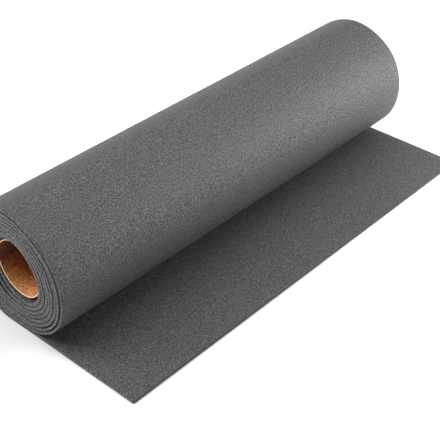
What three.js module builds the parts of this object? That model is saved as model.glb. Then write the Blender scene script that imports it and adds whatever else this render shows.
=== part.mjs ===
// A roll of grey needle felt on a cardboard core tube, lying on its side with its loose end flat on the floor.
// Millimetres, +Z up. The roll's axis runs along Y, the loose end points to +X, and the floor is z = 0.
import * as THREE from 'three';

// Driving dimensions of the felt
const FELT_WIDTH = 450;
const FELT_THICKNESS = 2.8;
const AXIS_HEIGHT = 60.2;
const LOOSE_END_REACH = 131.7;     // from the roll's axis to the cut edge of the loose end
const CUT_EDGE_ROUNDING = 0.8;     // the top corner of the cut edge, softened by the blade
const CUT_OUT_OF_SQUARE = 4;       // the loose end's far side was trimmed this much at its corner
const CREASE_GAP = 0.3;            // blunt end of the wedge between the roll and the loose end

// Driving dimensions of the cardboard core tube
const CORE_INNER_DIAMETER = 50.8;
const CORE_WALL = 1.6;
const CORE_RECESS = 4;             // the tube's ends lie this far inside the felt's end faces
const SEAT_GAP = 0.3;              // between the tube and the innermost turn of felt

// Facets
const RIM_STEP = 3;                // degrees between points of the outermost turn
const ROUND_SEGMENTS = 60;         // facets of the tube and of the felt's bore
const EDGE_SEGMENTS = 3;

// The outer face of the outermost turn, seen along +Y from the near end. The turn starts on the floor,
// climbs the side away from the loose end, goes over the top and comes down on top of the loose end.
// angle: degrees clockwise from straight down at the axis. radius: distance from the axis.
// The roll has sagged a little on its lower left, where the last turn is loose.
const OUTERMOST_TURN = [
  { angle: 0, radius: 60.4 },
  { angle: 15, radius: 62.5 },
  { angle: 30, radius: 66.4 },
  { angle: 45, radius: 66.2 },
  { angle: 60, radius: 64.6 },
  { angle: 75, radius: 62.8 },
  { angle: 90, radius: 61.4 },
  { angle: 105, radius: 60.2 },
  { angle: 120, radius: 59.1 },
  { angle: 135, radius: 58.3 },
  { angle: 150, radius: 57.8 },
  { angle: 165, radius: 57.7 },
  { angle: 180, radius: 57.7 },
  { angle: 195, radius: 57.4 },
  { angle: 210, radius: 57.5 },
  { angle: 225, radius: 58.0 },
  { angle: 240, radius: 58.2 },
  { angle: 255, radius: 57.9 },
  { angle: 270, radius: 57.6 },
  { angle: 285, radius: 57.9 },
  { angle: 300, radius: 58.3 },
  { angle: 315, radius: 58.3 },
  { angle: 330, radius: 58.2 },
  { angle: 345, radius: 58.3 },
  { angle: 360, radius: 57.2 },
];

const FELT_COLOUR = 0x6b6b6c;
const CARDBOARD_COLOUR = 0xb0703a;

// A point of the profile, in the plane across the axis, from its angle clockwise from straight down.
function aroundAxis(angle, radius) {
  const turned = THREE.MathUtils.degToRad(angle);
  return new THREE.Vector2(-radius * Math.sin(turned), AXIS_HEIGHT - radius * Math.cos(turned));
}

// The outermost turn as points every RIM_STEP degrees, smooth between the table's rows.
function outermostTurn() {
  const rows = OUTERMOST_TURN.map(({ angle, radius }) => new THREE.Vector2(angle, radius));
  const span = rows.at(-1).x - rows[0].x;
  const radii = new THREE.SplineCurve(rows);
  return radii.getPoints(Math.round(span / RIM_STEP)).map(({ x, y }) => aroundAxis(x, y));
}

// The cut edge of the loose end, from the top of the sheet down to the floor.
function cutEdge() {
  const points = [];
  for (let i = 0; i <= EDGE_SEGMENTS; i += 1) {
    const turned = (Math.PI / 2) * (1 - i / EDGE_SEGMENTS);
    points.push(new THREE.Vector2(
      LOOSE_END_REACH - CUT_EDGE_ROUNDING * (1 - Math.cos(turned)),
      FELT_THICKNESS - CUT_EDGE_ROUNDING * (1 - Math.sin(turned)),
    ));
  }
  points.push(new THREE.Vector2(LOOSE_END_REACH, 0));
  return points;
}

// The felt's section across the axis: up the roll from the floor, over the top, down to the crease,
// out along the loose end and back along the floor.
function feltOutline() {
  const turn = outermostTurn();
  const liftOff = turn.findLastIndex(({ x, y }) => x < 0 && y <= 0);
  const crease = turn.findIndex(({ x, y }, i) => i > liftOff && x > 0 && y < FELT_THICKNESS + CREASE_GAP);
  const floorPoint = new THREE.Vector2(turn[liftOff].x, 0);
  const creaseReach = turn[crease - 1].x;
  const creaseFoot = new THREE.Vector2(creaseReach, FELT_THICKNESS);
  const rim = turn.slice(liftOff + 1, crease);
  return { points: [floorPoint, ...rim, creaseFoot, ...cutEdge()], creaseReach };
}

// Extrudes a section drawn in X and Z along the axis, centred on the roll's middle.
function alongAxis(shape, length) {
  const geometry = new THREE.ExtrudeGeometry(shape, { depth: length, steps: 1, bevelEnabled: false });
  return geometry.translate(0, 0, -length / 2);
}

// A circle about the axis: clockwise for an outline, anticlockwise for a hole in one.
const CLOCKWISE = 1;
const ANTICLOCKWISE = -1;
function circleAboutAxis(path, radius, direction) {
  for (let i = 0; i < ROUND_SEGMENTS; i += 1) {
    const point = aroundAxis((direction * i * 360) / ROUND_SEGMENTS, radius);
    if (i === 0) path.moveTo(point.x, point.y);
    else path.lineTo(point.x, point.y);
  }
  path.closePath();
  return path;
}

// Draws the far side of the loose end in towards its corner, in a straight line from the crease.
function trimFarSide(geometry, creaseReach) {
  const position = geometry.attributes.position;
  const farSide = -FELT_WIDTH / 2;
  for (let i = 0; i < position.count; i += 1) {
    const onLooseEnd = position.getX(i) > creaseReach && position.getY(i) <= FELT_THICKNESS;
    if (onLooseEnd && position.getZ(i) === farSide) {
      const along = (position.getX(i) - creaseReach) / (LOOSE_END_REACH - creaseReach);
      position.setZ(i, farSide + along * CUT_OUT_OF_SQUARE);
    }
  }
}

function makeFelt({ points, creaseReach }, boreRadius) {
  const section = new THREE.Shape(points);
  section.holes.push(circleAboutAxis(new THREE.Path(), boreRadius, ANTICLOCKWISE));
  const geometry = alongAxis(section, FELT_WIDTH);
  trimFarSide(geometry, creaseReach);
  const material = new THREE.MeshStandardMaterial({ color: FELT_COLOUR, roughness: 1, metalness: 0 });
  const felt = new THREE.Mesh(geometry, material);
  felt.name = 'felt';
  return felt;
}

function makeCoreTube(innerRadius, outerRadius) {
  const section = circleAboutAxis(new THREE.Shape(), outerRadius, CLOCKWISE);
  section.holes.push(circleAboutAxis(new THREE.Path(), innerRadius, ANTICLOCKWISE));
  const material = new THREE.MeshStandardMaterial({ color: CARDBOARD_COLOUR, roughness: 0.85, metalness: 0 });
  const coreTube = new THREE.Mesh(alongAxis(section, FELT_WIDTH - 2 * CORE_RECESS), material);
  coreTube.name = 'core_tube';
  return coreTube;
}

const outline = feltOutline();
const outlineBox = new THREE.Box2().setFromPoints(outline.points);
const coreInnerRadius = CORE_INNER_DIAMETER / 2;
const coreOuterRadius = coreInnerRadius + CORE_WALL;

// The sections are drawn with Z as their second coordinate, so the roll is stood up by a quarter turn.
const roll = new THREE.Group();
roll.add(makeFelt(outline, coreOuterRadius + SEAT_GAP));
roll.add(makeCoreTube(coreInnerRadius, coreOuterRadius));
roll.rotation.x = Math.PI / 2;

// The origin is under the middle of the whole piece, on the floor.
const part = new THREE.Group();
roll.position.x = -(outlineBox.min.x + outlineBox.max.x) / 2;
part.add(roll);

export default part;
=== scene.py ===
# %% [markdown]
# # A roll of grey felt on its cardboard core
#
# The object is one long piece of needle felt, wound on a cardboard tube. It lies on its side, and its loose
# end lies flat on the floor. The construction is already fixed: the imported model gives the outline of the
# roll, the place of its axis and the size of the tube. This lesson dresses it.
# Every length is in metres, +Z is up and the roll's axis runs along Y.

# %% Load the fixed frame
import math

import bpy
import numpy as np
from mathutils import Matrix, Vector, noise


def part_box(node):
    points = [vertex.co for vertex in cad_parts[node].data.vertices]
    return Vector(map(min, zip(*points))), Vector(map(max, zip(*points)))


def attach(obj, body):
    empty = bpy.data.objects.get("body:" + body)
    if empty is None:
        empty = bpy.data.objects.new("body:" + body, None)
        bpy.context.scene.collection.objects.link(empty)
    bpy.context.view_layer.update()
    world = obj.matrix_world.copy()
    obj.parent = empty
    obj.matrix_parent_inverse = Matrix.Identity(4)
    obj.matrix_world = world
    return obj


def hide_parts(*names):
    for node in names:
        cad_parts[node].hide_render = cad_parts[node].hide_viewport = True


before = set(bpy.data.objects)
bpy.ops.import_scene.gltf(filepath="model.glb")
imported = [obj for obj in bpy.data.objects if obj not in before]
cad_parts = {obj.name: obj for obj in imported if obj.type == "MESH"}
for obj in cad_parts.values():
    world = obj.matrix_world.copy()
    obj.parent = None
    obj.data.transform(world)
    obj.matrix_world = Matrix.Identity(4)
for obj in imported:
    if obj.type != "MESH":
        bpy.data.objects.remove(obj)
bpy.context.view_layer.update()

scene = bpy.context.scene

# %% [markdown]
# ## Sizes from the frame
#
# The tube's box gives the axis of the roll. The felt's box gives its width and the place of its cut edge.
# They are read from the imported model, so the felt stays where its solid is. Only the tube's wall is written
# down again, because a box doesn't show it.

# %% Read the axis, the width and the tube
MM = 0.001
tube_low, tube_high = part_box("core_tube")
felt_low, felt_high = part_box("felt")

AXIS_X = (tube_low.x + tube_high.x) / 2
AXIS_Z = (tube_low.z + tube_high.z) / 2
TUBE_OUTER_RADIUS = (tube_high.z - tube_low.z) / 2
TUBE_WALL = 1.6 * MM
TUBE_END_Y = tube_high.y
FELT_WIDTH = felt_high.y - felt_low.y
CUT_EDGE_X = felt_high.x
print("roll axis at x", round(AXIS_X, 5), "z", round(AXIS_Z, 5), "felt width", round(FELT_WIDTH, 4))

# %% [markdown]
# ## The outline of the roll
#
# A roll of felt isn't a true circle: it sags where it rests, and its last turn is slack on one side. The
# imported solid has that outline, so its near rim is read corner by corner, as an angle and a radius about
# the axis. The angle runs clockwise from straight down, as the felt does: along the floor, up the far left
# side, over the top and down onto the loose end.

# %% Read the rim of the solid
TOUCH = 1e-5  # corners closer than this to a plane lie in it
ONLY_LOOSE_END = 60 * MM  # further right than this, the near face is the loose end alone
OUTSIDE_BORE = 50 * MM  # corners further out than this are on the rim

corners = np.array([v.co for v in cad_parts["felt"].data.vertices])
near_face = corners[corners[:, 1] < felt_low.y + TOUCH]
across = near_face[:, 0] - AXIS_X
below = AXIS_Z - near_face[:, 2]
angle = np.degrees(np.arctan2(-across, below)) % 360
radius = np.hypot(across, below)

LOOSE_END_TOP = near_face[across > ONLY_LOOSE_END][:, 2].max()
bore_radius = radius.min()
above_floor = np.where(across < 0, near_face[:, 2], near_face[:, 2] - LOOSE_END_TOP) > TOUCH
on_the_rim = (radius > OUTSIDE_BORE) & above_floor
order = np.argsort(angle[on_the_rim])
rim_angle = angle[on_the_rim][order]
rim_radius = radius[on_the_rim][order]
print("rim corners", len(rim_angle), "from", rim_angle[0].round(1), "to", rim_angle[-1].round(1), "degrees")
print("felt thickness", round(float(LOOSE_END_TOP), 5), "bore radius", round(float(bore_radius), 5))

# %% Find the crease, where the roll meets the loose end
on_loose_end = (across > 0) & (np.abs(near_face[:, 2] - LOOSE_END_TOP) < TOUCH)
CREASE_X = float(near_face[on_loose_end][:, 0].min())
LOOSE_LENGTH = CUT_EDGE_X - CREASE_X
print("loose end", round(LOOSE_LENGTH, 4), "m beyond the crease")

# %% [markdown]
# ## The turns inside the outline
#
# The end face shows about nine turns. Each keeps the outline's sag, less and less towards the core, and the
# felt swells where it isn't pressed. So every turn is worked out by one rule: at each angle the room
# between the outermost turn and the core is shared out evenly, the innermost turns step up where the felt
# starts on the core, and a short table opens the few gaps that show as dark lines.

# %% Sizes of the turns
TURNS = 9
TURN_STEP = 1.5  # degrees between points of the path
START_ON_CORE = 100  # angle at which the felt's inner end lies on the tube
STEP_UP = 55  # degrees that the next turn takes to climb over that end
CORE_SLACK = 0.1 * MM
LOOSE_ON_CORE = 1.9 * MM  # the innermost turns stand off the tube this much on the lower right
LOOSE_ANGLE = 305
LOOSE_SPREAD = 50
TIGHTEST_GAP = 0.24 * MM
FULLNESS = 0.88  # share of the room of a turn that the felt fills
SWELL_LIMIT = 3.4 * MM
PRESSED_TO = 20  # the felt is pressed flat up to this angle
SWELLS_OVER = 60  # and swells over this many degrees after it
SEATED_FROM = 300  # from this angle on, the outermost turn may lie on the loose end
STEEPEST = 0.2  # least cosine, where the flat of the floor is far off to the side

# Slow waves in each turn, because felt is never wound quite evenly. They grow from the second turn on and
# fade before the core, each over its own number of degrees.
WAVES = [
    # height in millimetres, wavelength in degrees, phase
    (0.45, 33.0, 5.0),
    (0.22, 9.0, 2.0),
]
WAVES_GROW = 300
WAVES_FADE = 400
RADIUS_SMOOTHING = 3  # steps each way of the running means
THICKNESS_SMOOTHING = 4

# The room of the outermost turn: the felt and the gap inside it, by angle.
OUTER_ROOM = [
    # angle, millimetres
    (0, 3.0),
    (20, 3.3),
    (50, 4.3),
    (90, 4.2),
    (140, 3.7),
    (180, 3.5),
    (205, 3.8),
    (235, 3.5),
    (265, 3.8),
    (300, 3.5),
    (330, 3.4),
]

# Gaps that are wider than the rest. The turn is the one outside the gap.
WIDE_GAPS = [
    # turn, angle, spread in degrees, extra gap in millimetres
    (1, 25, 30, 0.5),
    (1, 185, 50, 1.3),
    (1, 275, 50, 1.4),
    (2, 35, 45, 0.35),
    (2, 200, 60, 0.3),
    (2, 325, 28, 0.8),
    (3, 190, 60, 0.25),
    (3, 60, 40, 0.3),
    (4, 250, 45, 0.5),
    (6, 265, 40, 0.45),
    (7, 20, 50, 0.3),
]
print("turns asked for:", TURNS, "with", len(WIDE_GAPS), "gaps that show")


# %% Helpers for the turns
def smooth(values, steps):
    """A running mean over a few steps each way, with the ends held."""
    window = np.hanning(2 * steps + 3)[1:-1]
    padded = np.concatenate([np.full(steps, values[0]), values, np.full(steps, values[-1])])
    return np.convolve(padded, window / window.sum(), mode="valid")


def outermost(angles):
    """Outer face of the outermost turn. It is flat on the floor first, and on the loose end last."""
    cosine = np.maximum(np.cos(np.radians(angles)), STEEPEST)
    free = np.interp(angles, rim_angle, rim_radius)
    on_floor = np.where(angles < rim_angle[0], AXIS_Z / cosine, free)
    seat = (AXIS_Z - LOOSE_END_TOP - TIGHTEST_GAP) / cosine
    return np.where(angles > SEATED_FROM, np.minimum(on_floor, seat), on_floor)


def wavy(total_angle, wavelength, phase):
    """An uneven wave between -1 and 1 that never repeats from turn to turn."""
    return np.array([noise.noise(Vector((a / wavelength, phase, 0.0))) for a in total_angle])


# %% Work out the radius and thickness of every turn
def turn_radii(total):
    """Outer radius along the felt, and the radius of what lies inside its last turn."""
    turn = np.floor(total / 360)
    around = total - 360 * turn
    core = bore_radius + CORE_SLACK + LOOSE_ON_CORE * np.exp(-(((around - LOOSE_ANGLE) / LOOSE_SPREAD) ** 4))
    outer = outermost(around)
    under_outer = outermost(np.array([360.0]))[0]
    last_room = (under_outer - bore_radius - CORE_SLACK) / (TURNS - 1)
    table = OUTER_ROOM + [(360, last_room / MM)]
    room = np.interp(around, [row[0] for row in table], [row[1] * MM for row in table])
    second = outer - room

    progress = np.clip((around - START_ON_CORE) / STEP_UP, 0, 1)
    step = progress * progress * (3 - 2 * progress)
    depth = (total / (360 * TURNS)) ** 2
    rows = TURNS - 1 - ((1 - depth) * around / 360 + depth * step)
    inner = second - (second - core) * (turn - 1) / rows
    radii = smooth(np.where(turn == 0, outer, inner), RADIUS_SMOOTHING)
    settled = np.clip((total - 360) / WAVES_GROW, 0, 1) * np.clip((total[-1] - total) / WAVES_FADE, 0, 1)
    waves = sum(height * MM * wavy(total, wavelength, phase) for height, wavelength, phase in WAVES)
    return radii + waves * settled, core


def turn_thicknesses(total, radii, core):
    """Thickness along the felt, and the pitch: the room from each turn's outer face to the next one's."""
    per_turn = round(360 / TURN_STEP)
    next_face = core.copy()
    next_face[:-per_turn] = radii[per_turn:]
    pitch = radii - next_face
    thickness = np.clip(FULLNESS * pitch, 0, SWELL_LIMIT)
    for wide_turn, wide_angle, spread, extra in WIDE_GAPS:
        place = 360 * (wide_turn - 1) + wide_angle
        thickness = thickness - extra * MM * np.exp(-(((total - place) / spread) ** 2))
    last = total > total[-1] - 360
    thickness = np.where(last, np.minimum(SWELL_LIMIT, pitch), thickness)
    thickness = np.minimum(thickness, pitch - np.where(last, 0, TIGHTEST_GAP))
    free = np.clip((total - PRESSED_TO) / SWELLS_OVER, 0, 1)
    thickness = LOOSE_END_TOP + (thickness - LOOSE_END_TOP) * free
    return smooth(thickness, THICKNESS_SMOOTHING), pitch


total_angle = np.arange(0, 360 * (TURNS - 1) + START_ON_CORE + TURN_STEP, TURN_STEP)
turn_radius, core_radius = turn_radii(total_angle)
turn_thickness, turn_pitch = turn_thicknesses(total_angle, turn_radius, core_radius)
print("turns", round(total_angle[-1] / 360, 2), "pitch from", (turn_pitch.min() / MM).round(2),
      "to", (turn_pitch.max() / MM).round(2), "mm")
print("felt from", (turn_thickness.min() / MM).round(2), "to", (turn_thickness.max() / MM).round(2), "mm")

# %% [markdown]
# ## The path of the felt
#
# The felt is wound in the next step by bending a flat sheet along a path, as the real one was. The path is
# its middle line, so its length is the length of the flat felt: cloth keeps that when it is rolled. It is a
# curve of straight steps, and the radius of each of its points holds half the felt's thickness there.

# %% Draw the middle line from the cut edge to the core
LOOSE_STEP = 3 * MM


def add_object(name, data):
    """A new object in the scene that shows the data."""
    made = bpy.data.objects.new(name, data)
    scene.collection.objects.link(made)
    return made


def felt_path():
    """Points of the felt's middle line in X and Z, and its thickness at each."""
    turned = np.radians(total_angle)
    wound = np.stack([AXIS_X - turn_radius * np.sin(turned), AXIS_Z - turn_radius * np.cos(turned)], 1)
    wound[:, 1] = np.maximum(wound[:, 1], 0)
    steps = round((CUT_EDGE_X - AXIS_X) / LOOSE_STEP)
    flat_x = np.linspace(CUT_EDGE_X, AXIS_X, steps, endpoint=False)
    flat = np.stack([flat_x, np.zeros(steps)], 1)
    outer = np.concatenate([flat, wound])
    thickness = np.concatenate([np.full(steps, LOOSE_END_TOP), turn_thickness])
    along = np.gradient(outer, axis=0)
    along /= np.linalg.norm(along, axis=1)[:, None]
    inward = np.stack([along[:, 1], -along[:, 0]], 1)
    return outer + inward * thickness[:, None] / 2, thickness


def path_object(name, points, radii):
    """A curve object of one straight-stepped spline in the plane across the roll."""
    data = bpy.data.curves.new(name, "CURVE")
    data.dimensions = "3D"
    spline = data.splines.new("POLY")
    spline.points.add(len(points) - 1)
    for point, (x, z), point_radius in zip(spline.points, points, radii):
        point.co = (x, 0, z, 1)
        point.radius = point_radius
    return add_object(name, data)


middle, path_thickness = felt_path()
FELT_LENGTH = float(np.linalg.norm(np.diff(middle, axis=0), axis=1).sum())
felt = path_object("felt_sheet", middle, path_thickness / 2)
print("flat felt:", round(FELT_WIDTH, 3), "by", round(FELT_LENGTH, 3), "m")

# %% [markdown]
# ## Helpers for node trees
#
# Both kinds of tree, for shapes and for finishes, are built from a few helpers, so that the steps below
# read like sums. A value that goes into a node is either a number or the output of another node.


# %% Helpers for nodes
def feed(tree, socket, value):
    """Links value to the socket if it is another node's output, and otherwise sets it."""
    if isinstance(value, bpy.types.NodeSocket):
        tree.links.new(value, socket)
    else:
        socket.default_value = value


def add_node(tree, kind, inputs=None, **settings):
    """A node of that kind. Inputs are given by name or number, and settings by name."""
    node = tree.nodes.new(kind)
    for key, value in settings.items():
        setattr(node, key, value)
    for key, value in (inputs or {}).items():
        feed(tree, node.inputs[key], value)
    return node


def calc(tree, operation, first, second=0.0, third=0.0, clamp=False):
    """One sum on numbers."""
    node = add_node(tree, "ShaderNodeMath", {0: first, 1: second}, operation=operation, use_clamp=clamp)
    if operation == "MULTIPLY_ADD":
        feed(tree, node.inputs[2], third)
    return node.outputs[0]


def swing(tree, value, amount, middle=0.5):
    """How far a pattern is above its middle, times an amount."""
    return calc(tree, "MULTIPLY", calc(tree, "SUBTRACT", value, middle), amount)


def vector_calc(tree, operation, first, second=None, scale=None):
    """One sum on vectors."""
    node = add_node(tree, "ShaderNodeVectorMath", {0: first}, operation=operation)
    if second is not None:
        feed(tree, node.inputs[1], second)
    if scale is not None:
        feed(tree, node.inputs["Scale"], scale)
    return node.outputs["Value" if operation in ("DOT_PRODUCT", "LENGTH") else "Vector"]


def combine(tree, x, y, z):
    """A vector from three numbers."""
    return add_node(tree, "ShaderNodeCombineXYZ", {0: x, 1: y, 2: z}).outputs[0]


def split(tree, vector):
    """The three numbers of a vector."""
    return add_node(tree, "ShaderNodeSeparateXYZ", {0: vector}).outputs


def new_tree(name, kind, inputs, outputs):
    """An empty tree with named inputs and outputs, and its two end nodes."""
    tree = bpy.data.node_groups.new(name, kind)
    for label, socket_kind, *value in inputs:
        socket = tree.interface.new_socket(label, in_out="INPUT", socket_type="NodeSocket" + socket_kind)
        if value:
            socket.default_value = value[0]
    for label, socket_kind in outputs:
        tree.interface.new_socket(label, in_out="OUTPUT", socket_type="NodeSocket" + socket_kind)
    return tree, tree.nodes.new("NodeGroupInput"), tree.nodes.new("NodeGroupOutput")


def make_mesh(host, tree, values, material):
    """Runs a geometry tree on an object, keeps the result as a plain mesh, and removes the tree from it."""
    modifier = host.modifiers.new("shape", "NODES")
    modifier.node_group = tree
    for item in tree.interface.items_tree:
        if item.in_out == "INPUT" and item.name in values:
            modifier[item.identifier] = values[item.name]
    host.update_tag()
    graph = bpy.context.evaluated_depsgraph_get()
    mesh = bpy.data.meshes.new_from_object(host.evaluated_get(graph), depsgraph=graph)
    name = host.name
    bpy.data.objects.remove(host)
    mesh.name = name
    mesh.materials.clear()
    mesh.materials.append(material)
    return add_object(name, mesh)

# %% [markdown]
# ## The wound felt
#
# The real felt is a flat sheet until it is rolled up, and the tree does the same. It starts with a closed
# box of thin grid cells, as long, wide and thick as the flat felt. Each point knows its place along, across
# and through the sheet, and is carried to the same place along, across and through the path. A sweep along
# the path would do as well, but this way each point also keeps its flat place, which the finish follows.
# The blade leaves soft shoulders, so the cells crowd together at all four cut edges and round them off.

# %% Place a row of points along a length
EDGE_STEPS = 3


def stations_group():
    """Places a row of points along a length, crowded into a rounded edge at both ends."""
    tree, given, result = new_tree(
        "Stations with rounded ends", "GeometryNodeTree",
        [("Index", "Float"), ("Count", "Int"),
         ("Length", "Float"), ("Rounding", "Float")],
        [("Place", "Float"), ("Fullness", "Float")])
    index, count, length, rounding = given.outputs[:4]
    quarter = math.pi / 2 / EDGE_STEPS
    last = calc(tree, "SUBTRACT", count, 1.0)
    from_end = calc(tree, "SUBTRACT", last, index)
    start_turn = calc(tree, "MULTIPLY", calc(tree, "MINIMUM", index, EDGE_STEPS), quarter)
    end_turn = calc(tree, "MULTIPLY", calc(tree, "MINIMUM", from_end, EDGE_STEPS), quarter)
    start = calc(tree, "MULTIPLY", calc(tree, "SUBTRACT", 1.0, calc(tree, "COSINE", start_turn)), rounding)
    end = calc(tree, "MULTIPLY", calc(tree, "COSINE", end_turn), rounding)
    cells = calc(tree, "SUBTRACT", last, 2.0 * EDGE_STEPS)
    plain_length = calc(tree, "SUBTRACT", length, calc(tree, "MULTIPLY", rounding, 2.0))
    cell = calc(tree, "DIVIDE", plain_length, cells)
    past_start = calc(tree, "MAXIMUM", calc(tree, "SUBTRACT", index, EDGE_STEPS), 0.0)
    plain = calc(tree, "MULTIPLY", calc(tree, "MINIMUM", past_start, cells), cell)
    feed(tree, result.inputs["Place"], calc(tree, "ADD", calc(tree, "ADD", start, plain), end))
    fullness = calc(tree, "SINE", calc(tree, "MINIMUM", start_turn, end_turn))
    feed(tree, result.inputs["Fullness"], fullness)
    return tree


STATIONS = stations_group()


def stations(tree, side, count, length, rounding):
    """The place and fullness of points whose side coordinate runs from -0.5 to 0.5."""
    last = calc(tree, "SUBTRACT", count, 1.0)
    index = calc(tree, "ROUND", calc(tree, "MULTIPLY", calc(tree, "ADD", side, 0.5), last))
    return add_node(tree, "GeometryNodeGroup",
                    {"Index": index, "Count": count, "Length": length, "Rounding": rounding},
                    node_tree=STATIONS).outputs


print("points that round off each edge of the sheet:", EDGE_STEPS)

# %% [markdown]
# The felt is a little lumpy, so its faces aren't ruled surfaces. Its turns don't lie level in the end face
# either: each drifts a little in or out along the core, and the innermost ones have been pushed in at the
# near end, on the side away from the loose end. The far side of the loose end was trimmed askew.

# %% Helpers for the winding
LUMPS_PER_METRE = 70.0
DRIFTS_PER_METRE = 9.0
DRIFT_GROWTH = 4.0  # the drift is full a quarter of a metre past the crease


def sheet_height(tree, socket, half_thickness, along, across, flat_y, side):
    """How far a point lies above the middle of the sheet, whose shoulders are taken off at its edges."""
    roundness = calc(tree, "MINIMUM", along["Fullness"], across["Fullness"])
    shoulder = calc(tree, "MULTIPLY", calc(tree, "SUBTRACT", 1.0, roundness), socket["Edge Rounding"])
    lump_place = combine(tree, along["Place"], flat_y, socket["Seed"])
    lump = add_node(tree, "ShaderNodeTexNoise",
                    {"Vector": lump_place, "Scale": LUMPS_PER_METRE, "Detail": 2.0},
                    noise_dimensions="3D").outputs[0]
    fuller = calc(tree, "ADD", calc(tree, "SUBTRACT", half_thickness, shoulder),
                  swing(tree, lump, socket["Lumpiness"]))
    return calc(tree, "MULTIPLY", calc(tree, "MULTIPLY", side, 2.0), fuller)


def shift_along_core(tree, socket, along, length, path_point):
    """How far each point slides along the core, by the drift of its turn and by the push."""
    drift_place = calc(tree, "MULTIPLY", along["Place"], DRIFTS_PER_METRE)
    drift = add_node(tree, "ShaderNodeTexNoise",
                     {"W": calc(tree, "ADD", drift_place, socket["Seed"]), "Scale": 1.0, "Detail": 2.0},
                     noise_dimensions="1D").outputs[0]
    wound = calc(tree, "SUBTRACT", along["Place"], socket["Loose End"])
    wound_share = calc(tree, "MULTIPLY", wound, DRIFT_GROWTH, clamp=True)
    drifted = calc(tree, "MULTIPLY", swing(tree, drift, wound_share), socket["Telescoping"])

    from_core_end = calc(tree, "SUBTRACT", length, along["Place"])
    outer_share = calc(tree, "DIVIDE", from_core_end, socket["Inner Turns"])
    inner_share = calc(tree, "SUBTRACT", 1.0, outer_share, clamp=True)
    path_x = split(tree, path_point)["X"]
    leftward = calc(tree, "DIVIDE", calc(tree, "SUBTRACT", socket["Core X"], path_x), socket["Core Radius"])
    left_share = calc(tree, "MULTIPLY_ADD", leftward, 0.5, 0.5, clamp=True)
    pushed = calc(tree, "MULTIPLY", calc(tree, "MULTIPLY", inner_share, left_share), socket["Pushed In"])
    return calc(tree, "ADD", drifted, pushed)


def askew_trim(tree, socket, along, flat_y, half_width):
    """What was trimmed off the far side, from nothing at the crease to the most at its corner."""
    inward = calc(tree, "DIVIDE", along["Place"], socket["Loose End"])
    outward = calc(tree, "SUBTRACT", 1.0, inward, clamp=True)
    far_share = calc(tree, "DIVIDE", flat_y, half_width, clamp=True)
    return calc(tree, "MULTIPLY", calc(tree, "MULTIPLY", outward, far_share), socket["Out Of Square"])


# %% Build the tree that rolls up a flat sheet
def winding_tree():
    """Bends a flat sheet with rounded edges along the path that the tree is given."""
    tree, given, result = new_tree(
        "Roll up a flat sheet", "GeometryNodeTree",
        [("Geometry", "Geometry"), ("Width", "Float"), ("Edge Rounding", "Float"),
         ("Points Along", "Int"), ("Points Across", "Int"), ("Out Of Square", "Float"),
         ("Loose End", "Float"), ("Telescoping", "Float"), ("Inner Turns", "Float"),
         ("Pushed In", "Float"), ("Core X", "Float"), ("Core Radius", "Float"),
         ("Lumpiness", "Float"), ("Seed", "Float"), ("Material", "Material")],
        [("Geometry", "Geometry")])
    socket = given.outputs
    length = add_node(tree, "GeometryNodeCurveLength", {0: socket["Geometry"]}).outputs["Length"]
    sheet = add_node(tree, "GeometryNodeMeshCube",
                     {"Size": (1, 1, 1), "Vertices X": socket["Points Along"],
                      "Vertices Y": socket["Points Across"], "Vertices Z": 4})
    box_place = add_node(tree, "GeometryNodeInputPosition").outputs[0]
    box = split(tree, box_place)
    rounding = socket["Edge Rounding"]
    along = stations(tree, box["X"], socket["Points Along"], length, rounding)
    across = stations(tree, box["Y"], socket["Points Across"], socket["Width"], rounding)
    half_width = calc(tree, "MULTIPLY", socket["Width"], 0.5)
    flat_y = calc(tree, "SUBTRACT", half_width, across["Place"])

    sample = add_node(tree, "GeometryNodeSampleCurve", mode="LENGTH", data_type="FLOAT")
    feed(tree, sample.inputs["Curves"], socket["Geometry"])
    feed(tree, sample.inputs["Value"], add_node(tree, "GeometryNodeInputRadius").outputs[0])
    feed(tree, sample.inputs["Length"], along["Place"])
    path_point = sample.outputs["Position"]
    height = sheet_height(tree, socket, sample.outputs["Value"], along, across, flat_y, box["Z"])
    shift = shift_along_core(tree, socket, along, length, path_point)
    trim = askew_trim(tree, socket, along, flat_y, half_width)
    final_y = calc(tree, "SUBTRACT", calc(tree, "ADD", flat_y, shift), trim)

    sideways = (0.0, 1.0, 0.0)
    inward = vector_calc(tree, "CROSS_PRODUCT", sideways, sample.outputs["Tangent"])
    lifted = vector_calc(tree, "SCALE", inward, scale=height)
    slid = combine(tree, 0.0, final_y, 0.0)
    target = vector_calc(tree, "ADD", vector_calc(tree, "ADD", path_point, lifted), slid)

    flat_place = combine(tree, along["Place"], flat_y, height)
    stored = add_node(tree, "GeometryNodeStoreNamedAttribute",
                      {"Geometry": sheet.outputs["Mesh"], "Name": "flat_place", "Value": flat_place},
                      data_type="FLOAT_VECTOR", domain="POINT")
    bent = add_node(tree, "GeometryNodeSetPosition", {"Geometry": stored.outputs[0], "Position": target})
    smoothed = add_node(tree, "GeometryNodeSetShadeSmooth", {"Geometry": bent.outputs[0]})
    real = add_node(tree, "GeometryNodeRealizeInstances", {"Geometry": smoothed.outputs[0]})
    dressed = add_node(tree, "GeometryNodeSetMaterial",
                       {"Geometry": real.outputs[0], "Material": socket["Material"]})
    feed(tree, result.inputs[0], dressed.outputs[0])
    return tree


WINDING = winding_tree()
print("the winding tree has", len(WINDING.nodes), "nodes")

# %% [markdown]
# ## Finishes
#
# Needle felt is a mat of short fibres that cross each other at low angles. Close up it shows single threads,
# and from a step away a lively nap of small light and dark strokes. Card is pressed from pulp, so it has the
# same crossing fibres, only finer and fainter. One group makes them for both: three layers of noise, each
# drawn out along its own direction. Their sum is the nap. Folded at its middle value, noise turns from blobs
# into lines, and those lines are the threads. Tufts of fibre that catch the light or lose it are specks:
# cells drawn out the same way, each with a tone of its own.

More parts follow.
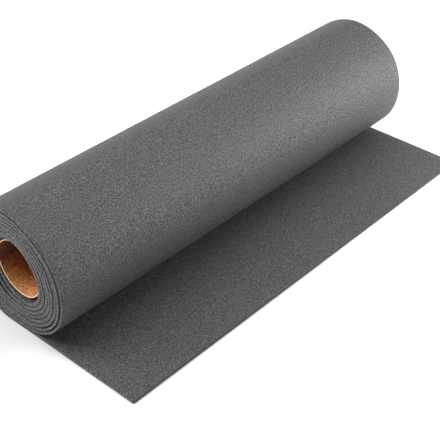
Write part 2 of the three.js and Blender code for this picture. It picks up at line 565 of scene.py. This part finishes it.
# %% A shader group of crossing fibres
FIBRE_DIRECTIONS = [
    # degrees from the length of the cloth, weight
    (-13, 0.48),
    (16, 0.37),
    (84, 0.15),
]
LAYER_SHIFT = (0.37, 0.11, 0.05)  # sets the layers apart, so that none repeats another
STROKE_WARP = 0.2
THREAD_SHARPNESS = 12.0


def fibre_group():
    """A nap of short strokes around 0.5, thin threads and specks from 0 to 1, and a mottle."""
    tree, given, result = new_tree(
        "Crossing fibres", "ShaderNodeTree",
        [("Vector", "Vector"), ("Scale", "Float", 600.0),
         ("Stretch", "Float", 3.0), ("Mottle Scale", "Float", 120.0)],
        [("Nap", "Float"), ("Threads", "Float"), ("Specks", "Float"),
         ("Mottle", "Float")])
    vector, scale, stretch, mottle_scale = given.outputs[:4]
    shrink = calc(tree, "DIVIDE", 1.0, stretch)
    squeeze = combine(tree, shrink, 1.0, 1.0)
    nap = 0.0
    threads = 0.0
    specks = 0.0
    for number, (turn, weight) in enumerate(FIBRE_DIRECTIONS):
        turned = add_node(tree, "ShaderNodeVectorRotate",
                          {"Vector": vector, "Angle": math.radians(-turn), "Axis": (0.0, 0.0, 1.0)},
                          rotation_type="AXIS_ANGLE").outputs[0]
        drawn = vector_calc(tree, "MULTIPLY", turned, squeeze)
        shifted = vector_calc(tree, "ADD", drawn, tuple(step * number for step in LAYER_SHIFT))
        strokes = add_node(tree, "ShaderNodeTexNoise",
                           {"Vector": shifted, "Scale": scale, "Detail": 0.0,
                            "Distortion": STROKE_WARP}).outputs[0]
        nap = calc(tree, "MULTIPLY_ADD", strokes, weight, nap)
        fold = calc(tree, "ABSOLUTE", calc(tree, "SUBTRACT", strokes, 0.5))
        line = calc(tree, "SUBTRACT", 1.0, calc(tree, "MULTIPLY", fold, THREAD_SHARPNESS, clamp=True))
        threads = calc(tree, "MAXIMUM", line, threads)
        tufts = add_node(tree, "ShaderNodeTexVoronoi", {"Vector": shifted, "Scale": scale}).outputs["Color"]
        tone = split(tree, tufts)["X"]
        specks = calc(tree, "MULTIPLY_ADD", tone, weight, specks)
    feed(tree, result.inputs["Nap"], nap)
    feed(tree, result.inputs["Threads"], threads)
    feed(tree, result.inputs["Specks"], specks)
    mottle = add_node(tree, "ShaderNodeTexNoise",
                      {"Vector": vector, "Scale": mottle_scale, "Detail": 4.0, "Roughness": 0.6})
    feed(tree, result.inputs["Mottle"], mottle.outputs[0])
    return tree


FIBRES = fibre_group()
print("the fibre group has", len(FIBRES.nodes), "nodes in", len(FIBRE_DIRECTIONS), "directions")


# %% Helpers for finishes
def crossing_fibres(tree, vector, sizes):
    """Puts the group of crossing fibres in a material, with its own sizes."""
    return add_node(tree, "ShaderNodeGroup", {"Vector": vector, **sizes}, node_tree=FIBRES).outputs


def new_material(name, roughness, specular):
    """A material of that roughness and specular level, with its tree and its Principled BSDF."""
    material = bpy.data.materials.new(name)
    material.use_nodes = True
    shader = material.node_tree.nodes["Principled BSDF"]
    shader.inputs["Roughness"].default_value = roughness
    shader.inputs["Specular IOR Level"].default_value = specular
    return material, material.node_tree, shader


def blend_colours(tree, share, low, high):
    """A colour that goes from low to high as the share goes from 0 to 1."""
    node = add_node(tree, "ShaderNodeMix", data_type="RGBA")
    feed(tree, node.inputs["Factor"], share)
    feed(tree, node.inputs["A"], low)
    feed(tree, node.inputs["B"], high)
    return node.outputs["Result"]


def spread(tree, value, low, high, new_low=0.0, new_high=1.0):
    """Maps a value from one range to another and holds it there."""
    ends = {"From Min": low, "From Max": high, "To Min": new_low, "To Max": new_high}
    return add_node(tree, "ShaderNodeMapRange", {"Value": value, **ends}).outputs["Result"]

# %% [markdown]
# ### Grey felt
#
# The felt is one neutral grey, paler and darker by the stroke, with a low relief and a broad, weak gloss.
# On both cut sides the ends of the fibres show a little paler and rougher. The cut edge of the loose end is
# painted darker, as shade on its thin face. The pattern follows the flat place of each point, as it would if
# the felt were dyed and needled first and rolled up afterwards.

# %% The felt material
FELT_GREY = (0.0598, 0.0598, 0.0603)
FELT_NAP = {"Scale": 2000.0, "Stretch": 3.0, "Mottle Scale": 120.0}
FELT_THREADS = {"Scale": 2600.0, "Stretch": 6.0}
NAP_CONTRAST = 9.5
SPECK_CONTRAST = 0.6
CLOUD_CONTRAST = 0.3
THREAD_CONTRAST = 0.22
THREAD_MIDDLE = 0.35
DARKEST = 0.15  # no stroke is darker than this share of the grey
CUT_SIDE_CONTRAST = 0.8
CUT_SIDE_TONE = 1.2
# The cut edge of the loose end is painted darker, as shade on its thin face.
CUT_END_SHADE_TONE = 0.4
NAP_RELIEF = 1.7
THREAD_RELIEF = 0.1
RELIEF_DEPTH = 0.55 * MM
CUT_SIDE = FELT_WIDTH / 2 - 0.45 * MM
CUT_END_SHADE_WIDTH = 0.35 * MM


def toned(tree, level, mask, tone):
    """A level that is multiplied by the tone where the mask is 1."""
    return calc(tree, "MULTIPLY", level, calc(tree, "ADD", 1.0, calc(tree, "MULTIPLY", mask, tone - 1)))


def felt_material():
    """Needle felt: a nap of crossing fibres in colour and in relief."""
    material, tree, shader = new_material("grey_felt", 0.5, 0.45)
    flat = add_node(tree, "ShaderNodeAttribute", attribute_name="flat_place").outputs["Vector"]
    coarse = crossing_fibres(tree, flat, FELT_NAP)
    fine = crossing_fibres(tree, flat, FELT_THREADS)
    place = split(tree, flat)
    cut_side = calc(tree, "GREATER_THAN", calc(tree, "ABSOLUTE", place["Y"]), CUT_SIDE)
    cut_end_shade = calc(tree, "LESS_THAN", place["X"], CUT_END_SHADE_WIDTH)

    nap = calc(tree, "SUBTRACT", coarse["Nap"], 0.5)
    strokes = calc(tree, "MULTIPLY", nap, NAP_CONTRAST)
    threads = swing(tree, fine["Threads"], THREAD_CONTRAST, THREAD_MIDDLE)
    clouds = swing(tree, coarse["Mottle"], CLOUD_CONTRAST)
    specks = swing(tree, coarse["Specks"], SPECK_CONTRAST)
    tone = calc(tree, "ADD", calc(tree, "ADD", strokes, threads), calc(tree, "ADD", clouds, specks))
    tone = toned(tree, tone, cut_side, 1 + CUT_SIDE_CONTRAST)
    level = calc(tree, "MAXIMUM", calc(tree, "ADD", 1.0, tone), DARKEST)
    level = toned(tree, level, cut_side, CUT_SIDE_TONE)
    # painted shade on the cut edge of the loose end
    level = toned(tree, level, cut_end_shade, CUT_END_SHADE_TONE)
    feed(tree, shader.inputs["Base Color"], vector_calc(tree, "SCALE", FELT_GREY, scale=level))

    height = calc(tree, "ADD", calc(tree, "MULTIPLY", nap, NAP_RELIEF),
                  calc(tree, "MULTIPLY", fine["Threads"], THREAD_RELIEF))
    bump = add_node(tree, "ShaderNodeBump", {"Height": height, "Distance": RELIEF_DEPTH, "Strength": 1.0})
    feed(tree, shader.inputs["Normal"], bump.outputs[0])
    return material


GREY_FELT = felt_material()
print(GREY_FELT.name, "has", len(GREY_FELT.node_tree.nodes), "nodes")

# %% Roll up the felt
felt = make_mesh(felt, WINDING, {
    "Width": FELT_WIDTH,
    "Edge Rounding": 0.5 * MM,
    "Points Along": 660,
    "Points Across": 56,
    "Out Of Square": 4 * MM,
    "Loose End": LOOSE_LENGTH,
    "Telescoping": 1.6 * MM,
    "Inner Turns": 0.42,
    "Pushed In": 3.0 * MM,
    "Core X": AXIS_X,
    "Core Radius": TUBE_OUTER_RADIUS,
    "Lumpiness": 0.25 * MM,
    "Seed": 4.0,
    "Material": GREY_FELT,
}, GREY_FELT)
print("felt sheet:", len(felt.data.polygons), "faces")

# %% [markdown]
# ## Loose fibres
#
# Short fibres stand out of real felt all over. They break its light into fine grain and make the cut sides
# look woolly. They could be hair particles, but a scatter in Geometry Nodes ends as a plain mesh. Each fibre
# is a needle of ten triangles. It starts on the felt, leans out at a low angle in any direction and is bent
# by a noise. The tree is told which stretch of the flat felt to cover, so the hidden turns stay bare.

# %% The fibre material
FIBRE_DARK = (0.035, 0.035, 0.0355, 1)
FIBRE_LIGHT = (0.32, 0.32, 0.322, 1)
FIBRE_TONES = {"Mottle Scale": 600.0}
DARK_UP_TO = 0.35  # the mottle runs from dark fibres to light ones between these values
LIGHT_FROM = 0.65


def fibre_material():
    """Single fibres, some dark and some light."""
    material, tree, shader = new_material("loose_fibre", 0.5, 0.5)
    place = add_node(tree, "ShaderNodeTexCoord").outputs["Object"]
    mottle = crossing_fibres(tree, place, FIBRE_TONES)["Mottle"]
    share = spread(tree, mottle, DARK_UP_TO, LIGHT_FROM)
    feed(tree, shader.inputs["Base Color"], blend_colours(tree, share, FIBRE_DARK, FIBRE_LIGHT))
    return material


LOOSE_FIBRE = fibre_material()
print(LOOSE_FIBRE.name, "has", len(LOOSE_FIBRE.node_tree.nodes), "nodes")

# %% Helpers for the scatter
LEAN_SEED = 11  # added to a tree's seed, so that lean and length are drawn apart
LENGTH_SEED = 12


def within(tree, value, low, high):
    """1 where the value lies between low and high, and 0 elsewhere."""
    above = calc(tree, "GREATER_THAN", value, low)
    return calc(tree, "MULTIPLY", above, calc(tree, "LESS_THAN", value, high))


def random_number(tree, low, high, seed):
    """A random number for each point."""
    node = add_node(tree, "FunctionNodeRandomValue", {2: low, 3: high, "Seed": seed}, data_type="FLOAT")
    return node.outputs[1]


def needle(tree):
    """One upright needle, 1 long and 1 across, that knows how far each point is from its root."""
    cone = add_node(tree, "GeometryNodeMeshCone",
                    {"Vertices": 3, "Side Segments": 2, "Radius Top": 0.0, "Radius Bottom": 0.5,
                     "Depth": 1.0})
    place = add_node(tree, "GeometryNodeInputPosition").outputs[0]
    upward = split(tree, place)["Z"]
    return add_node(tree, "GeometryNodeStoreNamedAttribute",
                    {"Geometry": cone.outputs["Mesh"], "Name": "from_root", "Value": upward},
                    data_type="FLOAT", domain="POINT").outputs[0]


def leaning(tree, normal, lowest, highest, seed):
    """A rotation that leans a needle in any direction, low over the surface more often than not."""
    anywhere = add_node(tree, "FunctionNodeRandomValue", {0: (-1, -1, -1), 1: (1, 1, 1), "Seed": seed},
                        data_type="FLOAT_VECTOR").outputs[0]
    outward = vector_calc(tree, "DOT_PRODUCT", anywhere, normal)
    along_surface = vector_calc(tree, "SUBTRACT", anywhere, vector_calc(tree, "SCALE", normal, scale=outward))
    drawn = random_number(tree, 0.0, 1.0, calc(tree, "ADD", seed, float(LEAN_SEED)))
    share = calc(tree, "POWER", drawn, 2.0)
    lean = calc(tree, "MULTIPLY_ADD", share, calc(tree, "SUBTRACT", highest, lowest), lowest)
    flat_part = vector_calc(tree, "SCALE", vector_calc(tree, "NORMALIZE", along_surface),
                            scale=calc(tree, "COSINE", lean))
    upright_part = vector_calc(tree, "SCALE", normal, scale=calc(tree, "SINE", lean))
    way = vector_calc(tree, "ADD", flat_part, upright_part)
    return add_node(tree, "FunctionNodeAlignRotationToVector", {"Vector": way}, axis="Z").outputs[0]

# %% Build the tree that scatters fibres
SHORTEST = 0.5  # shares of the length that is asked for
LONGEST = 1.5
SWIRLS_PER_METRE = 260.0
CURL = 1.5  # the power by which a fibre bends more and more towards its tip
LOWEST = 0.02 * MM  # a fibre that would reach under the floor lies on it, at this height


def bent_fibres(tree, bend):
    """Where each point of a straight fibre goes when the fibre is bent and lies on the floor."""
    here = add_node(tree, "GeometryNodeInputPosition").outputs[0]
    swirl = add_node(tree, "ShaderNodeTexNoise", {"Vector": here, "Scale": SWIRLS_PER_METRE, "Detail": 0.0})
    centred = vector_calc(tree, "SUBTRACT", swirl.outputs["Color"], (0.5, 0.5, 0.5))
    from_root = add_node(tree, "GeometryNodeInputNamedAttribute", {"Name": "from_root"}, data_type="FLOAT")
    curl = calc(tree, "POWER", from_root.outputs["Attribute"], CURL)
    reach = calc(tree, "MULTIPLY", curl, calc(tree, "MULTIPLY", bend, 2.0))
    bent = vector_calc(tree, "ADD", here, vector_calc(tree, "SCALE", centred, scale=reach))
    x, y, z = split(tree, bent)
    return combine(tree, x, y, calc(tree, "MAXIMUM", z, LOWEST))


def fibre_tree():
    """Scatters bent needles over one stretch of the flat felt."""
    tree, given, result = new_tree(
        "Scatter loose fibres", "GeometryNodeTree",
        [("Geometry", "Geometry"),
         ("Density", "Float", 1e5),
         ("Along From", "Float", 0.0), ("Along To", "Float", 1.0),
         ("Side From", "Float", -1.0), ("Side To", "Float", 1.0),
         ("Height From", "Float", -1.0), ("Height To", "Float", 1.0),
         ("Length", "Float", 2.4 * MM), ("Thickness", "Float", 0.08 * MM),
         ("Lowest Lean", "Float", 0.03), ("Highest Lean", "Float", 0.4),
         ("Bend", "Float", 1.0 * MM), ("Seed", "Int", 0),
         ("Material", "Material")],
        [("Geometry", "Geometry")])
    socket = given.outputs
    flat = add_node(tree, "GeometryNodeInputNamedAttribute", {"Name": "flat_place"}, data_type="FLOAT_VECTOR")
    along, side, height = split(tree, flat.outputs["Attribute"])
    shows = calc(tree, "MULTIPLY", within(tree, along, socket["Along From"], socket["Along To"]),
                 within(tree, side, socket["Side From"], socket["Side To"]))
    shows = calc(tree, "MULTIPLY", shows, within(tree, height, socket["Height From"], socket["Height To"]))
    points = add_node(tree, "GeometryNodeDistributePointsOnFaces",
                      {"Mesh": socket["Geometry"], "Selection": shows, "Density": socket["Density"],
                       "Seed": socket["Seed"]}, distribute_method="RANDOM").outputs
    turned = leaning(tree, points["Normal"], socket["Lowest Lean"], socket["Highest Lean"], socket["Seed"])
    length_seed = calc(tree, "ADD", socket["Seed"], float(LENGTH_SEED))
    length = calc(tree, "MULTIPLY", socket["Length"], random_number(tree, SHORTEST, LONGEST, length_seed))
    size = combine(tree, socket["Thickness"], socket["Thickness"], length)
    placed = add_node(tree, "GeometryNodeInstanceOnPoints",
                      {"Points": points["Points"], "Instance": needle(tree), "Rotation": turned,
                       "Scale": size})
    real = add_node(tree, "GeometryNodeRealizeInstances", {"Geometry": placed.outputs[0]})
    moved = add_node(tree, "GeometryNodeSetPosition",
                     {"Geometry": real.outputs[0], "Position": bent_fibres(tree, socket["Bend"])})
    for name in ("from_root", "flat_place"):
        moved = add_node(tree, "GeometryNodeRemoveAttribute", {"Geometry": moved.outputs[0], "Name": name})
    dressed = add_node(tree, "GeometryNodeSetMaterial",
                       {"Geometry": moved.outputs[0], "Material": socket["Material"]})
    feed(tree, result.inputs[0], dressed.outputs[0])
    return tree


FIBRE_TREE = fibre_tree()
print("the fibre tree has", len(FIBRE_TREE.nodes), "nodes")

# %% Name the stretches of the felt that show
SHOWING = 345  # degrees of the outermost turn that show, before it meets the loose end
SKIN = 0.5 * MM  # how deep in the felt a point still counts as its face
FIBRES_ON_FACES = 2.3e5  # for each square metre
FIBRES_ON_SIDES = 5.0e5
NEEDLE_TRIANGLES = 10

wound_steps = np.linalg.norm(np.diff(middle, axis=0), axis=1)[-len(total_angle) + 1:]
FIRST_TURN_START = CUT_EDGE_X - AXIS_X
FIRST_TURN_END = FIRST_TURN_START + float(wound_steps[:round(SHOWING / TURN_STEP)].sum())

OUTERMOST_FACE = {"Along From": FIRST_TURN_START, "Along To": FIRST_TURN_END, "Height To": -SKIN,
                  "Density": FIBRES_ON_FACES}
WOOLLY_SIDE = {"Along To": FELT_LENGTH, "Density": FIBRES_ON_SIDES, "Length": 1.1 * MM,
               "Thickness": 0.05 * MM, "Highest Lean": 0.9, "Bend": 0.6 * MM}
FIBRE_AREAS = {
    # name: the stretch of the flat felt that it covers
    "roll_fibres_near": {**OUTERMOST_FACE, "Side To": 0.0, "Seed": 1},
    "roll_fibres_far": {**OUTERMOST_FACE, "Side From": 0.0, "Seed": 2},
    "loose_end_fibres": {"Along To": LOOSE_LENGTH, "Height From": SKIN, "Density": FIBRES_ON_FACES,
                         "Seed": 3},
    "near_side_fibres": {**WOOLLY_SIDE, "Side To": -CUT_SIDE, "Seed": 4},
    "far_side_fibres": {**WOOLLY_SIDE, "Side From": CUT_SIDE, "Seed": 5},
}
print("outermost turn:", round(FIRST_TURN_START, 3), "to", round(FIRST_TURN_END, 3), "m along the felt")

# %% Scatter the fibres on them
fibre_pieces = []
for name, values in FIBRE_AREAS.items():
    host = add_object(name, felt.data)
    piece = make_mesh(host, FIBRE_TREE, {**values, "Material": LOOSE_FIBRE}, LOOSE_FIBRE)
    fibre_pieces.append(piece)
    triangles = sum(len(face.vertices) - 2 for face in piece.data.polygons)
    print(name, triangles // NEEDLE_TRIANGLES, "fibres,", triangles, "triangles")

# %% [markdown]
# ## The core tube
#
# The core is a spiral-wound paper tube: strips of brown card glued round a steel bar, then sawn to length.
# A lathe profile gives its wall, and the sawn rims are left a little ragged by moving their points in and
# out by a slow noise. Its finish shows the butt joint of the innermost strip as a thin dark helix. The lower
# side of the bore near both ends is paler, which is painted light, and further in it fades as painted shade.
# The card's dark brown is partly painted shade too, for the upper bore. The sawn rim is pale too,
# but for the darker ply on the outside, which is partly painted shade under the rim.

# %% Colours and sizes of the cardboard
# The card's dark brown is partly painted shade, for the upper and deeper bore.
CARD_DARK = (0.045, 0.011, 0.004, 1)
CARD_LIGHT = (0.22, 0.062, 0.02, 1)
LIT_BORE_DARK = (0.40, 0.125, 0.034, 1)
LIT_BORE_LIGHT = (0.95, 0.41, 0.155, 1)
CARD_CUT = (0.86, 0.62, 0.42, 1)
CARD_OUTER_PLY_AND_SHADE = (0.16, 0.07, 0.03, 1)
CARD_JOINT = (0.13, 0.045, 0.015, 1)
CARD_PULP = {"Scale": 1300.0, "Stretch": 5.0, "Mottle Scale": 220.0}
CARD_STREAKS = 4.0
CARD_CLOUDS = 0.4
PULP_RELIEF = 2.0
PULP_DEPTH = 0.25 * MM
LIT_BORE_TOP = -3 * MM  # painted light: below the axis the bore gets paler, down to the second height
LIT_BORE_BOTTOM = -18 * MM
LIT_BORE_FADE_FROM = 10 * MM  # and between these depths it gets darker again, as painted shade
LIT_BORE_FADE_TO = 34 * MM
LIT_BORE_DEEP = 0.45  # share of the painted light that is left further in
STRIP_RISE = 0.118  # the joint of the strip climbs this much in one turn
JOINT_CORE = 0.004  # half widths of the joint and of its soft edge, as shares of the rise
JOINT_EDGE = 0.010
JOINT_SHARE = 0.2
SAWN_WITHIN = 0.5 * MM  # how far from the tube's end its wall starts to look sawn
SAWN_OVER = 0.35 * MM
OUTER_PLY_AND_SHADE_FROM = 0.85 * MM  # depths under the outside between which the outer ply begins, darker card that is also painted shade under the rim
OUTER_PLY_AND_SHADE_TO = 0.6 * MM
print("one turn of the strip climbs", round(STRIP_RISE / MM), "mm")


# %% The cardboard material
def bore_colour(tree, y, z, share):
    """The card's dark brown, partly painted shade in the upper bore, and a paler one on the lower side near
    both ends as painted light.
    """
    dull = blend_colours(tree, share, CARD_DARK, CARD_LIGHT)
    pale = blend_colours(tree, share, LIT_BORE_DARK, LIT_BORE_LIGHT)
    from_end = calc(tree, "SUBTRACT", TUBE_END_Y, calc(tree, "ABSOLUTE", y))
    # Painted light on the lower bore near both ends, fading to painted shade further in.
    painted_light_share = calc(tree, "MULTIPLY", spread(tree, z, LIT_BORE_TOP, LIT_BORE_BOTTOM),
                  spread(tree, from_end, LIT_BORE_FADE_FROM, LIT_BORE_FADE_TO, 1.0, LIT_BORE_DEEP))
    return blend_colours(tree, painted_light_share, dull, pale)


def strip_joint(tree, x, y, z):
    """1 along the helix where the edges of the innermost strip meet, and 0 elsewhere."""
    turn = calc(tree, "DIVIDE", calc(tree, "ARCTAN2", z, x), 2 * math.pi)
    helix = calc(tree, "FRACT", calc(tree, "SUBTRACT", calc(tree, "DIVIDE", y, STRIP_RISE), turn))
    from_joint = calc(tree, "ABSOLUTE", calc(tree, "SUBTRACT", helix, 0.5))
    return spread(tree, from_joint, JOINT_CORE, JOINT_EDGE, 1.0, 0.0)


def sawn_colour(tree, x, y, z):
    """How much of the sawn rim shows, and its colour with the darker outer ply, which is partly painted
    shade.
    """
    ends = calc(tree, "SUBTRACT", calc(tree, "ABSOLUTE", y), TUBE_END_Y - SAWN_WITHIN)
    sawn = spread(tree, ends, 0.0, SAWN_OVER)
    from_axis = vector_calc(tree, "LENGTH", combine(tree, x, z, 0.0))
    # The outer ply is darker card, and also painted shade under the sawn rim.
    outer_ply_and_shade = spread(tree, from_axis, TUBE_OUTER_RADIUS - OUTER_PLY_AND_SHADE_FROM, TUBE_OUTER_RADIUS - OUTER_PLY_AND_SHADE_TO)
    return sawn, blend_colours(tree, outer_ply_and_shade, CARD_CUT, CARD_OUTER_PLY_AND_SHADE)


def card_material():
    """Brown card, with its pulp drawn along the tube's wall as if it were unrolled."""
    material, tree, shader = new_material("brown_card", 0.75, 0.3)
    place = add_node(tree, "ShaderNodeTexCoord").outputs["Object"]
    centred = vector_calc(tree, "SUBTRACT", place, (AXIS_X, 0.0, AXIS_Z))
    x, y, z = split(tree, centred)
    turned = calc(tree, "ARCTAN2", z, calc(tree, "MULTIPLY", x, -1.0))
    around = calc(tree, "MULTIPLY", turned, TUBE_OUTER_RADIUS)
    unrolled = combine(tree, around, y, 0.0)
    grain = crossing_fibres(tree, unrolled, CARD_PULP)
    clouds = calc(tree, "MULTIPLY_ADD", grain["Mottle"], CARD_CLOUDS, (1 - CARD_CLOUDS) / 2)
    share = calc(tree, "ADD", swing(tree, grain["Nap"], CARD_STREAKS), clouds, clamp=True)
    paper = bore_colour(tree, y, z, share)
    joint = strip_joint(tree, x, y, z)
    seamed = blend_colours(tree, calc(tree, "MULTIPLY", joint, JOINT_SHARE), paper, CARD_JOINT)
    sawn, cut = sawn_colour(tree, x, y, z)
    feed(tree, shader.inputs["Base Color"], blend_colours(tree, sawn, seamed, cut))
    height = calc(tree, "SUBTRACT", calc(tree, "MULTIPLY", grain["Nap"], PULP_RELIEF), joint)
    bump = add_node(tree, "ShaderNodeBump", {"Height": height, "Distance": PULP_DEPTH, "Strength": 0.5})
    feed(tree, shader.inputs["Normal"], bump.outputs[0])
    return material


BROWN_CARD = card_material()
print(BROWN_CARD.name, "has", len(BROWN_CARD.node_tree.nodes), "nodes")

# %% Turn the tube
TUBE_SEGMENTS = 120
TUBE_RINGS = 44
RIM_ROUNDING = 0.45 * MM
RIM_CORNER = 0.3  # how far in from a square corner its rounding runs, as a share of it
CORNER_RAGGED = 0.6
RAGGED = 0.22 * MM
JAGS = 9  # radius of the circle in the noise that the rim's jags are read along
ENDS_APART = 5  # places the circles of the two ends apart in the noise


def tube_profile():
    """Radius, place along the tube and raggedness of each ring, out along the bore and back outside."""
    inner = TUBE_OUTER_RADIUS - TUBE_WALL
    outer = TUBE_OUTER_RADIUS
    end = TUBE_END_Y
    corner = RIM_ROUNDING * RIM_CORNER
    rows = []
    for step in range(TUBE_RINGS + 1):
        rows.append((inner, (end - RIM_ROUNDING) * (2 * step / TUBE_RINGS - 1), 0.0))
    rim = [
        (inner + corner, end - corner, CORNER_RAGGED),
        (inner + RIM_ROUNDING, end, 1.0),
        (outer - RIM_ROUNDING, end, 1.0),
        (outer - corner, end - corner, CORNER_RAGGED),
        (outer, end - RIM_ROUNDING, 0.0),
    ]
    mirrored = [(r, -y, ragged) for r, y, ragged in rim]
    return rows + rim + mirrored[::-1]


def turn_tube():
    """Turns the profile about the roll's axis, with ragged rims."""
    profile = tube_profile()
    points = []
    for r, y, ragged in profile:
        for segment in range(TUBE_SEGMENTS):
            turned = 2 * math.pi * segment / TUBE_SEGMENTS
            spot = Vector((math.cos(turned) * JAGS, math.sin(turned) * JAGS, math.copysign(ENDS_APART, y)))
            jag = ragged * RAGGED * noise.noise(spot)
            x = AXIS_X + r * math.sin(turned)
            points.append((x, y + math.copysign(jag, y), AXIS_Z + r * math.cos(turned)))
    faces = []
    for ring in range(len(profile)):
        next_ring = (ring + 1) % len(profile)
        for segment in range(TUBE_SEGMENTS):
            neighbour = (segment + 1) % TUBE_SEGMENTS
            faces.append((ring * TUBE_SEGMENTS + segment, ring * TUBE_SEGMENTS + neighbour,
                          next_ring * TUBE_SEGMENTS + neighbour, next_ring * TUBE_SEGMENTS + segment))
    mesh = bpy.data.meshes.new("core_card_tube")
    mesh.from_pydata(points, [], faces)
    mesh.validate()
    mesh.shade_smooth()
    mesh.materials.append(BROWN_CARD)
    return add_object("core_card_tube", mesh)


tube = turn_tube()
print("core tube:", len(tube.data.polygons), "faces")

# %% [markdown]
# ## Floor, camera and light
#
# The roll is shown on a plain white floor. The camera stands where the photographer stood, which was worked
# out from the straight edges of the felt. The light comes from five softboxes. A big low one behind on the
# right, and a small one close to the far end, draw the bright band along the roll and leave a dark crease
# under it. The strongest stands at the front left and fills the end face, and weak ones overhead and low
# behind on the left fill the rest. They light the floor unevenly, so a step away from the roll it gives off
# white light by itself. The world behind it is white for the camera alone, and nearly black as a light.

# %% Floor
FLOOR_REACH = 6.0
FLOOR_WHITE = (0.97, 0.97, 0.97, 1)
FLOOR_DROP = 0.2 * MM  # keeps the floor clear of the felt's underside
GLOW_FROM = 0.7  # the floor begins to glow this far from the middle, and is white from the next distance on
GLOW_TO = 1.1


def pale_floor():
    """A white square that glows away from the roll."""
    material, tree, shader = new_material("pale_floor", 0.9, 0.0)
    shader.inputs["Base Color"].default_value = FLOOR_WHITE
    place = add_node(tree, "ShaderNodeTexCoord").outputs["Object"]
    glow = spread(tree, vector_calc(tree, "LENGTH", place), GLOW_FROM, GLOW_TO)
    feed(tree, shader.inputs["Emission Color"], blend_colours(tree, glow, (0, 0, 0, 1), (1, 1, 1, 1)))
    shader.inputs["Emission Strength"].default_value = 1.0
    mesh = bpy.data.meshes.new("floor")
    side = FLOOR_REACH
    square = [(-side, -side, 0), (side, -side, 0), (side, side, 0), (-side, side, 0)]
    mesh.from_pydata(square, [], [(0, 1, 2, 3)])
    mesh.materials.append(material)
    floor = add_object("floor", mesh)
    floor.location.z = -FLOOR_DROP
    return floor


floor = pale_floor()
print("floor:", 2 * FLOOR_REACH, "m square, white by itself from", GLOW_TO, "m on")

# %% Camera
CAMERA_AZIMUTH = math.radians(43.896)
CAMERA_ELEVATION = math.radians(35.146)
CAMERA_ROLL = math.radians(-2.054)
CAMERA_PLACE = Vector((0.52375, -0.56777, 0.54953))
SENSOR = 36.0
FOCAL_PIXELS = 1007.29
PHOTO_PIXELS = 440


def direction_to(azimuth, elevation):
    """The unit vector towards an azimuth, anticlockwise from the front, and an elevation, both in radians."""
    return Vector((math.sin(azimuth) * math.cos(elevation),
                   -math.cos(azimuth) * math.cos(elevation),
                   math.sin(elevation)))


def stand_camera():
    """The photographer's camera, turned a little about its own line of sight."""
    data = bpy.data.cameras.new("camera")
    data.sensor_width = SENSOR
    data.lens = FOCAL_PIXELS / PHOTO_PIXELS * SENSOR
    data.clip_start = 0.01
    camera = add_object("camera", data)
    back = direction_to(CAMERA_AZIMUTH, CAMERA_ELEVATION)
    right = (-back).cross(Vector((0, 0, 1))).normalized()
    up = back.cross(right)
    turned_right = math.cos(CAMERA_ROLL) * right + math.sin(CAMERA_ROLL) * up
    turned_up = -math.sin(CAMERA_ROLL) * right + math.cos(CAMERA_ROLL) * up
    axes = Matrix((turned_right, turned_up, back)).transposed()
    camera.matrix_world = Matrix.Translation(CAMERA_PLACE) @ axes.to_4x4()
    scene.camera = camera
    return camera


camera = stand_camera()
print("lens", round(camera.data.lens, 2), "mm at", [round(v, 3) for v in CAMERA_PLACE])

# %% Softboxes
SOFTBOXES = [
    # name, azimuth and elevation in degrees, distance and side in metres, watts
    ("near_far_end", 150, 15, 0.6, 0.35, 2.1),
    ("low_behind_right", 145, 20, 1.6, 1.2, 19.8),
    ("overhead", 180, 80, 1.1, 0.8, 8.2),
    ("low_behind_left", 225, 20, 1.6, 1.2, 4.0),
    ("front_left", 315, 45, 1.6, 1.2, 25.5),
]


def softbox(name, azimuth, elevation, distance, side, watts):
    """One square softbox that faces the middle of the floor under the roll."""
    data = bpy.data.lights.new(name, "AREA")
    data.shape = "SQUARE"
    data.size = side
    data.energy = watts
    light = add_object(name, data)
    direction = direction_to(math.radians(azimuth), math.radians(elevation))
    light.location = distance * direction
    light.rotation_euler = direction.to_track_quat("Z", "Y").to_euler()
    return light


softboxes = [softbox(*row) for row in SOFTBOXES]
total_watts = sum(light.data.energy for light in softboxes)
print("light:", len(softboxes), "softboxes,", round(total_watts, 1), "watts in all")

# %% Surround
SURROUND = 0.03  # strength of the world as a light


def white_surround():
    """A world that is white to the camera and gives hardly any light."""
    world = bpy.data.worlds.new("surround")
    world.use_nodes = True
    tree = world.node_tree
    background = tree.nodes["Background"]
    background.inputs["Color"].default_value = (1, 1, 1, 1)
    seen = add_node(tree, "ShaderNodeLightPath").outputs["Is Camera Ray"]
    feed(tree, background.inputs["Strength"], calc(tree, "MAXIMUM", seen, SURROUND))
    return world


scene.world = white_surround()
scene.view_settings.view_transform = "Standard"
print("surround of strength", SURROUND, "shown in", scene.view_settings.view_transform)

# %% [markdown]
# ## Attach the pieces
#
# Each piece rides on the roll's one body. The felt and the tube stand for their solids, which are hidden.

for piece, node, slot in ((felt, "felt", "felt"), (tube, "core_tube", "cardboard")):
    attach(piece, "root")
    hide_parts(node)
for piece in fibre_pieces:
    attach(piece, "root")
